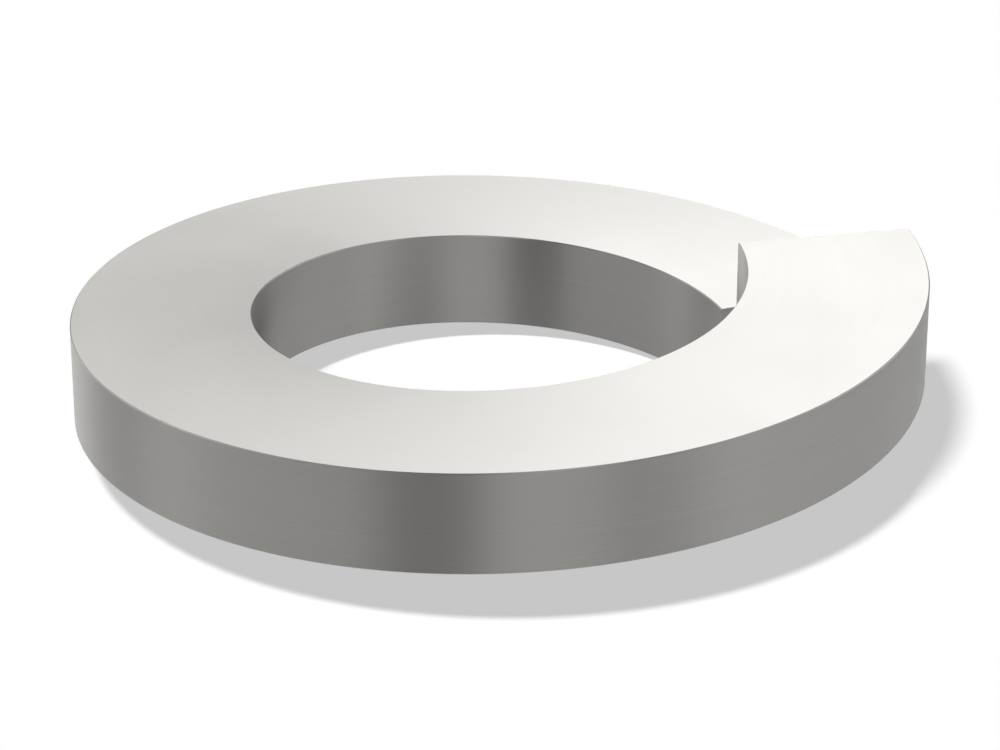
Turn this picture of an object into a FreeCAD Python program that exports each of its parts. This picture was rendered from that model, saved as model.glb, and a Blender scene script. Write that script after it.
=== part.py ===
import FreeCAD, Part
import os

# Sizes in millimetres and degrees
bore_diameter = 12.2
section_width = 4.45
thickness = 2.5
end_rise = 2.24
split_angle = 10.0
edge_break = 0.03
trim_room = 0.3

# Sizes that follow from them
bore_radius = bore_diameter / 2
outside_radius = bore_radius + section_width
free_height = thickness + end_rise

# Bore axis
axis_foot = FreeCAD.Vector(0, 0, 0)
axis_up = FreeCAD.Vector(0, 0, 1)


def section_outline():
    """Section of the coil in the plane y = 0, its four long edges broken at 45 degrees.

    The broken edges run on past both walls by the trim room, so that the walls are cut to size later.
    """
    inner_side = bore_radius - trim_room
    outer_side = outside_radius + trim_room
    side_foot = edge_break + trim_room
    side_top = thickness - edge_break - trim_room
    corners = [
        (bore_radius + edge_break, 0),
        (outside_radius - edge_break, 0),
        (outer_side, side_foot),
        (outer_side, side_top),
        (outside_radius - edge_break, thickness),
        (bore_radius + edge_break, thickness),
        (inner_side, side_top),
        (inner_side, side_foot),
    ]
    points = [FreeCAD.Vector(x, 0, z) for x, z in corners]
    return Part.makePolygon(points + points[:1])


def wound_coil():
    """The section wound once round the axis on a right-hand helix, upright at every point.

    Both ends lie in planes through the axis, and the split between them is centred on +X.
    """
    turn = 360 - split_angle
    lead = end_rise * 360 / turn
    path = Part.makeHelix(lead, end_rise, bore_radius + section_width / 2)
    winding = Part.BRepOffsetAPI.MakePipeShell(path)
    winding.setBiNormalMode(axis_up)
    winding.add(section_outline())
    winding.build()
    winding.makeSolid()
    coil = winding.shape()
    coil.rotate(axis_foot, axis_up, split_angle / 2)
    return coil


def round_walls():
    """Tube between the bore and the outside diameter, longer than the coil at both ends."""
    foot = FreeCAD.Vector(0, 0, -trim_room)
    length = free_height + 2 * trim_room
    outer = Part.makeCylinder(outside_radius, length, foot)
    bore = Part.makeCylinder(bore_radius, length, foot)
    return outer.cut(bore)


def lock_washer():
    """The coil trimmed to true cylinders at its inner and outer walls."""
    trimmed = wound_coil().common(round_walls())
    return trimmed.Solids[0]


os.makedirs("parts", exist_ok=True)
lock_washer().exportStep("parts/lock_washer.step")
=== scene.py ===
import math

import bpy
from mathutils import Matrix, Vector

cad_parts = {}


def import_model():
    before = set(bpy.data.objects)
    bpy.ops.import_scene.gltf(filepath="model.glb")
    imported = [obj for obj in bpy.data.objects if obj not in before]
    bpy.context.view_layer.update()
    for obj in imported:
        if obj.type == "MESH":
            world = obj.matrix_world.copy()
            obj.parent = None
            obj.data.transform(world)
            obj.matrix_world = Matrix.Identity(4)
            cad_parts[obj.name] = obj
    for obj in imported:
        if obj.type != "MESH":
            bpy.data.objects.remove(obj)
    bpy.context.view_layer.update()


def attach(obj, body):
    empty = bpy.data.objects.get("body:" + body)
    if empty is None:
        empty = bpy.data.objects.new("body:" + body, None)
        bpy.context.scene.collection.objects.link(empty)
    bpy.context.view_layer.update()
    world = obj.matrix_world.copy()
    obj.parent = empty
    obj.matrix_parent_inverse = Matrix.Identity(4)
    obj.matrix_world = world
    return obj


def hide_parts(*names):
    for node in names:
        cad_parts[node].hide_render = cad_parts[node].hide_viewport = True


MM = 0.001

# Washer, in millimetres and degrees
BORE_RADIUS = 6.1
OUTSIDE_RADIUS = 10.55
THICKNESS = 2.5
END_RISE = 2.24
SPLIT_ANGLE = 10.0
EDGE_BREAK = 0.03

# Camera, in the washer's own frame, in millimetres and degrees
CAMERA_PLACE = (-23.907, -78.300, 38.741)
CAMERA_TURN = -17.0
CAMERA_DOWN = 24.348
LENS = 129.69
SENSOR = 36.0
NEAREST_SEEN = 5.0
FARTHEST_SEEN = 20000.0

# Finishes of the washer's sides, in the order of its material slots, and the map that they share
ROLLED, DRAWN, SHEARED = range(3)
WIRE_MAP = "wire_run"

# Steel. Faces, walls and cut ends are one steel, and the darker tones of the walls and cut ends are painted
# shade
FACE_TONE = (0.585, 0.575, 0.554)
WALL_SHADED_TONE = (0.300, 0.295, 0.284)
END_SHADED_TONE = (0.312, 0.307, 0.296)
FACE_ROUGHNESS = 0.34
WALL_ROUGHNESS = 0.50
END_ROUGHNESS = 0.36

# Cut ends: where the blade's bite stops above the underside, in millimetres, and the torn grain below it
BITE_FOOT = 1.6
BITE_WAVE = 0.5
BITE_FADE = 0.03
TORN_DEPTH = 0.012
TORN_DULLING = 0.12

# Table and backdrop, in metres. The key light alone leaves the table grey, and its own glow makes it white
TABLE_SHADE = 0.5
TABLE_GLOW = 0.571
TABLE_RADIUS = 1.3
TABLE_SIDES = 96
BACKDROP_HEIGHT = 0.137

# Key light, with its place and width in degrees
KEY_AZIMUTH = 225.0
KEY_ELEVATION = 58.0
KEY_SOFTNESS = 8.5
KEY_STRENGTH = 3.19

# Soft panels round the table, in degrees, with azimuths from the washer's +X. Each has one brightness low
# down, where the flat top mirrors it, and another high up, where only the spread of the walls finds it
PANELS = (
    dict(azimuth=108.0, half_width=14.0, low=4.0, high=53.0, side_fade=2.0, lower=1.8, upper=4.0),
    dict(azimuth=183.5, half_width=38.5, low=4.0, high=39.0, side_fade=2.0, lower=1.35, upper=4.0),
    dict(azimuth=265.5, half_width=17.0, low=4.0, high=62.0, side_fade=2.0, lower=0.85, upper=3.0),
    dict(azimuth=298.0, half_width=17.0, low=4.0, high=59.0, side_fade=8.0, lower=1.8, upper=0.2),
    dict(azimuth=329.0, half_width=10.0, low=4.0, high=62.0, side_fade=4.5, lower=1.3, upper=3.75),
    dict(azimuth=9.0, half_width=25.0, low=21.0, high=47.0, side_fade=2.5, lower=1.6, upper=4.0),
    dict(azimuth=51.0, half_width=24.5, low=26.0, high=35.0, side_fade=3.0, lower=1.8, upper=2.15),
    dict(azimuth=91.0, half_width=69.0, low=22.0, high=44.5, side_fade=2.0, lower=1.8, upper=0.85),
)

# Softness of the panels' lower and upper ends, and where they pass from one brightness to the other
END_FADE = 3.0
UPPER_START = (27.0, 33.0)

# Light of the room between and above the panels, with the elevations over which its ceiling comes in
ROOM_LEVEL = 0.08
CEILING_LEVEL = 0.30
CEILING_START = (44.0, 56.0)
ZENITH_LEVEL = 0.60
ZENITH_START = (55.0, 75.0)


def sine(angle):
    return math.sin(math.radians(angle))


def cosine(angle):
    return math.cos(math.radians(angle))


# Camera

def set_up_camera():
    """Camera in front of the washer, looking down on it."""
    data = bpy.data.cameras.new("camera")
    data.sensor_width = SENSOR
    data.lens = LENS
    data.clip_start = NEAREST_SEEN * MM
    data.clip_end = FARTHEST_SEEN * MM
    camera = bpy.data.objects.new("camera", data)
    bpy.context.collection.objects.link(camera)
    camera.location = [length * MM for length in CAMERA_PLACE]
    camera.rotation_euler = (math.radians(90.0 - CAMERA_DOWN), 0.0, math.radians(CAMERA_TURN))
    bpy.context.scene.camera = camera


# Shape of the washer

def underside_height(angle):
    """Height of the coil's underside at an angle counted from the middle of the split."""
    return END_RISE * (angle - SPLIT_ANGLE / 2) / (360.0 - SPLIT_ANGLE)


def wire_section(face_strips, wall_strips):
    """Points round the wire's section, with their distance round it and the finish of the next strip."""
    near, far = BORE_RADIUS + EDGE_BREAK, OUTSIDE_RADIUS - EDGE_BREAK
    low, high = EDGE_BREAK, THICKNESS - EDGE_BREAK
    # Corners by radius and height, with the finish and the strips of the side that starts there
    sides = (
        (near, 0.0, ROLLED, face_strips),
        (far, 0.0, DRAWN, 1),
        (OUTSIDE_RADIUS, low, DRAWN, wall_strips),
        (OUTSIDE_RADIUS, high, DRAWN, 1),
        (far, THICKNESS, ROLLED, face_strips),
        (near, THICKNESS, DRAWN, 1),
        (BORE_RADIUS, high, DRAWN, wall_strips),
        (BORE_RADIUS, low, DRAWN, 1),
    )
    points = []
    girth = 0.0
    for number, (radius, height, finish, strips) in enumerate(sides):
        next_radius, next_height = sides[(number + 1) % len(sides)][:2]
        length = math.hypot(next_radius - radius, next_height - height)
        for strip in range(strips):
            share = strip / strips
            points.append(dict(
                radius=radius + (next_radius - radius) * share,
                height=height + (next_height - height) * share,
                distance=girth + length * share,
                finish=finish,
                is_corner=strip == 0,
            ))
        girth += length
    return points, girth


def wind_coil(name, steps=720, face_strips=12, wall_strips=8):
    """Coil of flat wire with broken edges and cut ends, mapped in millimetres along and round the wire."""
    section, girth = wire_section(face_strips, wall_strips)
    count = len(section)
    middle_radius = (BORE_RADIUS + OUTSIDE_RADIUS) / 2
    vertices, along_wire = [], []
    for step in range(steps + 1):
        angle = SPLIT_ANGLE / 2 + (360.0 - SPLIT_ANGLE) * step / steps
        along_wire.append(math.radians(angle) * middle_radius)
        for point in section:
            radius = point["radius"]
            height = underside_height(angle) + point["height"]
            vertices.append((radius * cosine(angle) * MM, radius * sine(angle) * MM, height * MM))
    faces, finishes, mapped = [], [], []
    for step in range(steps):
        near, far = step * count, (step + 1) * count
        here, there = along_wire[step], along_wire[step + 1]
        for number, point in enumerate(section):
            after = (number + 1) % count
            start = point["distance"]
            stop = section[after]["distance"] if after else girth
            faces.append((near + number, near + after, far + after, far + number))
            finishes.append(point["finish"])
            mapped += [(here, start), (here, stop), (there, stop), (there, start)]
    lower_end = list(reversed(range(count)))
    raised_end = [steps * count + number for number in range(count)]
    for rim in (lower_end, raised_end):
        faces.append(rim)
        finishes.append(SHEARED)
        mapped += [(section[number % count]["radius"], section[number % count]["height"]) for number in rim]
    mesh = bpy.data.meshes.new(name)
    mesh.from_pydata(vertices, [], faces)
    mesh.polygons.foreach_set("material_index", finishes)
    mesh.polygons.foreach_set("use_smooth", [finish != SHEARED for finish in finishes])
    layer = mesh.uv_layers.new(name=WIRE_MAP)
    layer.data.foreach_set("uv", [value for pair in mapped for value in pair])
    corners = [number for number, point in enumerate(section) if point["is_corner"]]
    keep_corners_sharp(mesh, corners, count, steps)
    mesh.update()
    return mesh


def keep_corners_sharp(mesh, corners, count, steps):
    """Marks the lines where the broken edges meet the faces and walls, and the rims of both cut ends."""
    for edge in mesh.edges:
        first, second = sorted(edge.vertices)
        along = second - first == count and first % count in corners
        rim = first // count == second // count and first // count in (0, steps)
        edge.use_edge_sharp = along or rim


# Finishes shared by the washer's steels

def shader_group(name, inputs, outputs):
    """Empty shader group with plain number sockets, given as name and starting value."""
    group = bpy.data.node_groups.new(name, "ShaderNodeTree")
    for socket, value in inputs:
        entry = group.interface.new_socket(socket, in_out="INPUT", socket_type="NodeSocketFloat")
        entry.default_value = value
    for socket in outputs:
        group.interface.new_socket(socket, in_out="OUTPUT", socket_type="NodeSocketFloat")
    source = group.nodes.new("NodeGroupInput")
    result = group.nodes.new("NodeGroupOutput")
    return group, source, result


def calculate(nodes, links, operation, first, second=0.0):
    """Math node on two sockets or numbers."""
    node = nodes.new("ShaderNodeMath")
    node.operation = operation
    for socket, value in zip(node.inputs, (first, second)):
        if isinstance(value, float):
            socket.default_value = value
        else:
            links.new(value, socket)
    return node.outputs[0]


def soft_step(nodes, links, value, empty, full):
    """Soft step from 0 at the empty value to 1 at the full value."""
    step = nodes.new("ShaderNodeMapRange")
    step.interpolation_type = "SMOOTHSTEP"
    rising = empty < full
    step.inputs["From Min"].default_value = min(empty, full)
    step.inputs["From Max"].default_value = max(empty, full)
    step.inputs["To Min"].default_value = 0.0 if rising else 1.0
    step.inputs["To Max"].default_value = 1.0 if rising else 0.0
    links.new(value, step.inputs["Value"])
    return step.outputs["Result"]


def die_lines_group():
    """Fine lines that the die and the rolls leave along the wire. Width and length are in millimetres."""
    inputs = [("Line Width", 0.05), ("Line Length", 6.0)]
    group, source, result = shader_group("die_lines", inputs, ["Lines"])
    nodes, links = group.nodes, group.links
    place = nodes.new("ShaderNodeUVMap")
    place.uv_map = WIRE_MAP
    size = nodes.new("ShaderNodeCombineXYZ")
    size.inputs["Z"].default_value = 1.0
    links.new(source.outputs["Line Length"], size.inputs["X"])
    links.new(source.outputs["Line Width"], size.inputs["Y"])
    stretched = nodes.new("ShaderNodeVectorMath")
    stretched.operation = "DIVIDE"
    links.new(place.outputs["UV"], stretched.inputs[0])
    links.new(size.outputs[0], stretched.inputs[1])
    noise = nodes.new("ShaderNodeTexNoise")
    noise.inputs["Scale"].default_value = 1.0
    noise.inputs["Detail"].default_value = 3.0
    noise.inputs["Roughness"].default_value = 0.6
    links.new(stretched.outputs[0], noise.inputs["Vector"])
    links.new(noise.outputs["Fac"], result.inputs["Lines"])
    return group


def mottling_group():
    """Faint cloudy patches of a tumbled and oiled steel surface, with their size in millimetres."""
    group, source, result = shader_group("steel_mottling", [("Patch Size", 1.5)], ["Patches"])
    nodes, links = group.nodes, group.links
    place = nodes.new("ShaderNodeTexCoord")
    noise = nodes.new("ShaderNodeTexNoise")
    noise.inputs["Detail"].default_value = 4.0
    noise.inputs["Roughness"].default_value = 0.55
    links.new(place.outputs["Object"], noise.inputs["Vector"])
    scale = calculate(nodes, links, "DIVIDE", 1.0 / MM, source.outputs["Patch Size"])
    links.new(scale, noise.inputs["Scale"])
    links.new(noise.outputs["Fac"], result.inputs["Patches"])
    return group


def cloud(nodes, links, place, scale, detail):
    """Cloudy noise from 0 to 1."""
    noise = nodes.new("ShaderNodeTexNoise")
    noise.inputs["Scale"].default_value = scale
    noise.inputs["Detail"].default_value = detail
    links.new(place, noise.inputs["Vector"])
    return noise.outputs["Fac"]


def spread(nodes, links, value, middle, swing):
    """Number that swings about its middle as a noise value runs from 0 to 1."""
    scaled = calculate(nodes, links, "MULTIPLY", calculate(nodes, links, "SUBTRACT", value, 0.5), swing)
    return calculate(nodes, links, "ADD", scaled, middle)


def tint(nodes, links, shader, colour, brightness):
    """Base colour times a brightness that changes over the surface."""
    scale = nodes.new("ShaderNodeVectorMath")
    scale.operation = "SCALE"
    scale.inputs[0].default_value = colour
    links.new(brightness, scale.inputs["Scale"])
    links.new(scale.outputs["Vector"], shader.inputs["Base Color"])


def raise_relief(nodes, links, shader, height, depth):
    """Adds relief of a depth in millimetres on top of the relief that the shader already has."""
    relief = nodes.new("ShaderNodeBump")
    relief.inputs["Strength"].default_value = 1.0
    relief.inputs["Distance"].default_value = depth * MM
    links.new(height, relief.inputs["Height"])
    for link in list(shader.inputs["Normal"].links):
        links.new(link.from_socket, relief.inputs["Normal"])
    links.new(relief.outputs["Normal"], shader.inputs["Normal"])


def steel(name, colour, roughness, groups, line, patch):
    """Bare steel with lines along the wire and faint patches, both sized in millimetres."""
    material = bpy.data.materials.new(name)
    material.use_nodes = True
    nodes, links = material.node_tree.nodes, material.node_tree.links
    shader = nodes["Principled BSDF"]
    shader.inputs["Metallic"].default_value = 1.0
    lines = nodes.new("ShaderNodeGroup")
    lines.node_tree = groups["die_lines"]
    lines.inputs["Line Width"].default_value = line["width"]
    lines.inputs["Line Length"].default_value = line["length"]
    patches = nodes.new("ShaderNodeGroup")
    patches.node_tree = groups["mottling"]
    patches.inputs["Patch Size"].default_value = patch["size"]
    line_shade = spread(nodes, links, lines.outputs["Lines"], 1.0, line["tone"])
    patch_shade = spread(nodes, links, patches.outputs["Patches"], 1.0, patch["tone"])
    tint(nodes, links, shader, colour, calculate(nodes, links, "MULTIPLY", line_shade, patch_shade))
    gloss = spread(nodes, links, patches.outputs["Patches"], roughness, patch["gloss"])
    links.new(gloss, shader.inputs["Roughness"])
    raise_relief(nodes, links, shader, lines.outputs["Lines"], line["depth"])
    return material


def rolled_steel(groups):
    """Top and bottom faces: flat rolled, satin, with broad faint lines round the ring."""
    line = dict(width=0.16, length=7.0, depth=0.00025, tone=0.05)
    patch = dict(size=1.8, tone=0.05, gloss=0.06)
    return steel("rolled_steel", FACE_TONE, FACE_ROUGHNESS, groups, line, patch)


def drawn_shaded_steel(groups):
    """Outer and inner walls: drawn through a die, they spread light up and down and mirror it sideways.
    Their darker colour is painted shade.
    """
    line = dict(width=0.06, length=12.0, depth=0.0001, tone=0.14)
    patch = dict(size=2.2, tone=0.05, gloss=0.03)
    material = steel("drawn_shaded_steel", WALL_SHADED_TONE, WALL_ROUGHNESS, groups, line, patch)
    nodes, links = material.node_tree.nodes, material.node_tree.links
    shader = nodes["Principled BSDF"]
    shader.inputs["Anisotropic"].default_value = 1.0
    shader.inputs["Anisotropic Rotation"].default_value = 0.25
    # The quarter turn stands the wide spread of the light upright, across the drawn lines
    grain = nodes.new("ShaderNodeTangent")
    grain.direction_type = "RADIAL"
    grain.axis = "Z"
    links.new(grain.outputs["Tangent"], shader.inputs["Tangent"])
    return material


def sheared_shaded_steel(groups):
    """Cut ends: the blade's smooth bite with upright lines, and a duller torn grain below it. Their darker
    colour is painted shade.
    """
    # The ends are mapped across and up, so what is the lines' width elsewhere is their height here
    line = dict(width=3.0, length=0.09, depth=0.0012, tone=0.12)
    patch = dict(size=0.3, tone=0.08, gloss=0.05)
    material = steel("sheared_shaded_steel", END_SHADED_TONE, END_ROUGHNESS, groups, line, patch)
    nodes, links = material.node_tree.nodes, material.node_tree.links
    shader = nodes["Principled BSDF"]
    place = nodes.new("ShaderNodeUVMap")
    place.uv_map = WIRE_MAP
    parts = nodes.new("ShaderNodeSeparateXYZ")
    links.new(place.outputs["UV"], parts.inputs[0])
    edge_wave = cloud(nodes, links, place.outputs["UV"], scale=1.4, detail=3.0)
    bite_foot = spread(nodes, links, edge_wave, BITE_FOOT, BITE_WAVE)
    above_foot = calculate(nodes, links, "SUBTRACT", parts.outputs["Y"], bite_foot)
    torn = soft_step(nodes, links, above_foot, BITE_FADE, -BITE_FADE)
    smooth_gloss = shader.inputs["Roughness"].links[0].from_socket
    dulling = calculate(nodes, links, "MULTIPLY", torn, TORN_DULLING)
    links.new(calculate(nodes, links, "ADD", smooth_gloss, dulling), shader.inputs["Roughness"])
    crumbs = cloud(nodes, links, place.outputs["UV"], scale=9.0, detail=4.0)
    grain = calculate(nodes, links, "MULTIPLY", crumbs, torn)
    raise_relief(nodes, links, shader, grain, TORN_DEPTH)
    return material


def make_washer():
    """Washer in its three steels, in the place of the plain solid."""
    groups = {"die_lines": die_lines_group(), "mottling": mottling_group()}
    mesh = wind_coil("lock_washer_coil")
    for finish in (rolled_steel, drawn_shaded_steel, sheared_shaded_steel):
        mesh.materials.append(finish(groups))
    washer = bpy.data.objects.new("lock_washer_coil", mesh)
    bpy.context.collection.objects.link(washer)
    # The table isn't lit by what the steel throws back, so the shadow stays even
    washer.visible_diffuse = False
    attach(washer, "root")
    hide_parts("lock_washer")


# Studio

def white_stage(name, shade, glow):
    """Matt white whose glow is seen by the camera, by the metal and through glass."""
    material = bpy.data.materials.new(name)
    material.use_nodes = True
    nodes, links = material.node_tree.nodes, material.node_tree.links
    shader = nodes["Principled BSDF"]
    shader.inputs["Base Color"].default_value = (shade, shade, shade, 1.0)
    shader.inputs["Roughness"].default_value = 1.0
    shader.inputs["Specular IOR Level"].default_value = 0.0
    shader.inputs["Emission Color"].default_value = (1.0, 1.0, 1.0, 1.0)
    path = nodes.new("ShaderNodeLightPath")
    seen = path.outputs["Is Camera Ray"]
    for kind in ("Is Glossy Ray", "Is Transmission Ray"):
        seen = calculate(nodes, links, "MAXIMUM", seen, path.outputs[kind])
    links.new(calculate(nodes, links, "MULTIPLY", seen, glow), shader.inputs["Emission Strength"])
    return material


def add_stage(name, vertices, faces, material):
    """Piece of the studio, which isn't part of the washer."""
    mesh = bpy.data.meshes.new(name)
    mesh.from_pydata(vertices, [], faces)
    mesh.materials.append(material)
    piece = bpy.data.objects.new(name, mesh)
    bpy.context.collection.objects.link(piece)
    return piece


def lay_table():
    """Round table, with a low white backdrop standing on its rim."""
    rim = []
    for side in range(TABLE_SIDES):
        angle = 360.0 * side / TABLE_SIDES
        rim.append((TABLE_RADIUS * cosine(angle), TABLE_RADIUS * sine(angle)))
    foot = [(x, y, 0.0) for x, y in rim]
    head = [(x, y, BACKDROP_HEIGHT) for x, y in rim]
    strips = []
    for side in range(TABLE_SIDES):
        after = (side + 1) % TABLE_SIDES
        strips.append((side, after, TABLE_SIDES + after, TABLE_SIDES + side))
    white_table = white_stage("white_table", shade=TABLE_SHADE, glow=TABLE_GLOW)
    white_backdrop = white_stage("white_backdrop", shade=0.0, glow=1.0)
    add_stage("table", foot, [tuple(range(TABLE_SIDES))], white_table)
    backdrop = add_stage("backdrop", foot + head, strips, white_backdrop)
    # The key light comes through the backdrop, so the table stays evenly lit up to its rim
    backdrop.visible_shadow = False


def soft_panel(nodes, links, way, azimuth, half_width, low, high, side_fade, lower, upper):
    """One panel's light in the direction looked at, from its lower to its upper brightness."""
    x, y, height = way
    # How closely the direction turns to the panel's middle, as a cosine
    level = calculate(nodes, links, "MULTIPLY", height, height)
    level = calculate(nodes, links, "SQRT", calculate(nodes, links, "SUBTRACT", 1.0, level))
    along = calculate(nodes, links, "MULTIPLY", x, cosine(azimuth))
    along = calculate(nodes, links, "ADD", along, calculate(nodes, links, "MULTIPLY", y, sine(azimuth)))
    along = calculate(nodes, links, "DIVIDE", along, level)
    sides = soft_step(nodes, links, along, cosine(half_width + side_fade), cosine(half_width - side_fade))
    foot = soft_step(nodes, links, height, sine(low - END_FADE), sine(low + END_FADE))
    head = soft_step(nodes, links, height, sine(high + END_FADE), sine(high - END_FADE))
    shape = calculate(nodes, links, "MULTIPLY", calculate(nodes, links, "MULTIPLY", sides, foot), head)
    rise = soft_step(nodes, links, height, sine(UPPER_START[0]), sine(UPPER_START[1]))
    glow = calculate(nodes, links, "ADD", calculate(nodes, links, "MULTIPLY", rise, upper - lower), lower)
    return calculate(nodes, links, "MULTIPLY", shape, glow)


def fit_room():
    """Room of soft panels and a pale ceiling, which the metal reflects."""
    world = bpy.data.worlds.new("studio")
    bpy.context.scene.world = world
    world.use_nodes = True
    world.cycles_visibility.diffuse = False
    nodes, links = world.node_tree.nodes, world.node_tree.links
    parts = nodes.new("ShaderNodeSeparateXYZ")
    links.new(nodes.new("ShaderNodeTexCoord").outputs["Generated"], parts.inputs[0])
    way = tuple(parts.outputs)
    ceiling = soft_step(nodes, links, way[2], sine(CEILING_START[0]), sine(CEILING_START[1]))
    zenith = soft_step(nodes, links, way[2], sine(ZENITH_START[0]), sine(ZENITH_START[1]))
    total = calculate(nodes, links, "MULTIPLY", ceiling, CEILING_LEVEL)
    total = calculate(nodes, links, "ADD", total, calculate(nodes, links, "MULTIPLY", zenith, ZENITH_LEVEL))
    total = calculate(nodes, links, "ADD", total, ROOM_LEVEL)
    for panel in PANELS:
        total = calculate(nodes, links, "ADD", total, soft_panel(nodes, links, way, **panel))
    backing = nodes["Background"]
    backing.inputs["Color"].default_value = (1.0, 1.0, 1.0, 1.0)
    links.new(total, backing.inputs["Strength"])


def hang_key_light():
    """Soft key light from the camera's left, high up."""
    lamp = bpy.data.lights.new("key_light", "SUN")
    lamp.energy = KEY_STRENGTH
    lamp.angle = math.radians(KEY_SOFTNESS)
    key = bpy.data.objects.new("key_light", lamp)
    bpy.context.collection.objects.link(key)
    flat = cosine(KEY_ELEVATION)
    way = Vector((cosine(KEY_AZIMUTH) * flat, sine(KEY_AZIMUTH) * flat, sine(KEY_ELEVATION)))
    key.rotation_mode = "QUATERNION"
    key.rotation_quaternion = way.to_track_quat("Z", "Y")
    key.visible_glossy = False


def main():
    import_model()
    set_up_camera()
    make_washer()
    lay_table()
    fit_room()
    hang_key_light()
    bpy.context.scene.view_settings.view_transform = "Standard"


main()
